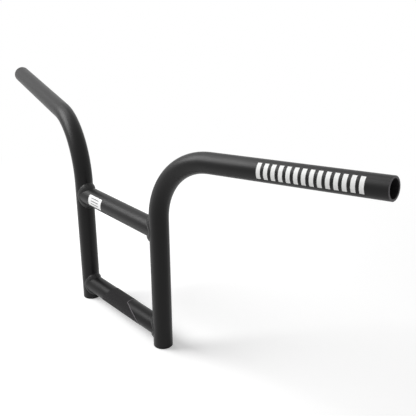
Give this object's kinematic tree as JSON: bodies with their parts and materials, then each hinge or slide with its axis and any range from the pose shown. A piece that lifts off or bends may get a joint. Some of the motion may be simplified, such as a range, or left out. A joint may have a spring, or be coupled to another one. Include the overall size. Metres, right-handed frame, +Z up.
{
  "type": "riser handlebar",
  "caption": "Welded bicycle riser handlebar: bent tubes with swept-back grips, joined by a crossbar and a knurled clamp tube.",
  "frame": {"origin": "middle of the clamp tube's axis, where the stem holds the bar", "axes": "+X along the clamp tube toward the right grip as seen from the front, +Z up the legs, +Y back toward the rider, the way the grips sweep"},
  "size_m": [0.6904, 0.0756, 0.2609],
  "materials": {
    "tube_paint": "satin",
    "crossbar_paint": "satin",
    "clamp_paint": "satin",
    "weld_paint": "satin",
    "foot_paint": "satin",
    "print_white": "satin"
  },
  "bodies": {
    "root": {"right_riser_tube": "tube_paint", "left_riser_tube": "tube_paint", "crossbar": "crossbar_paint", "clamp_tube": "clamp_paint", "crossbar_weld_right": "weld_paint", "crossbar_weld_left": "weld_paint", "clamp_weld_right": "weld_paint", "clamp_weld_left": "weld_paint", "right_foot_cap": "foot_paint", "left_foot_cap": "foot_paint"}
  },
  "joints": []
}
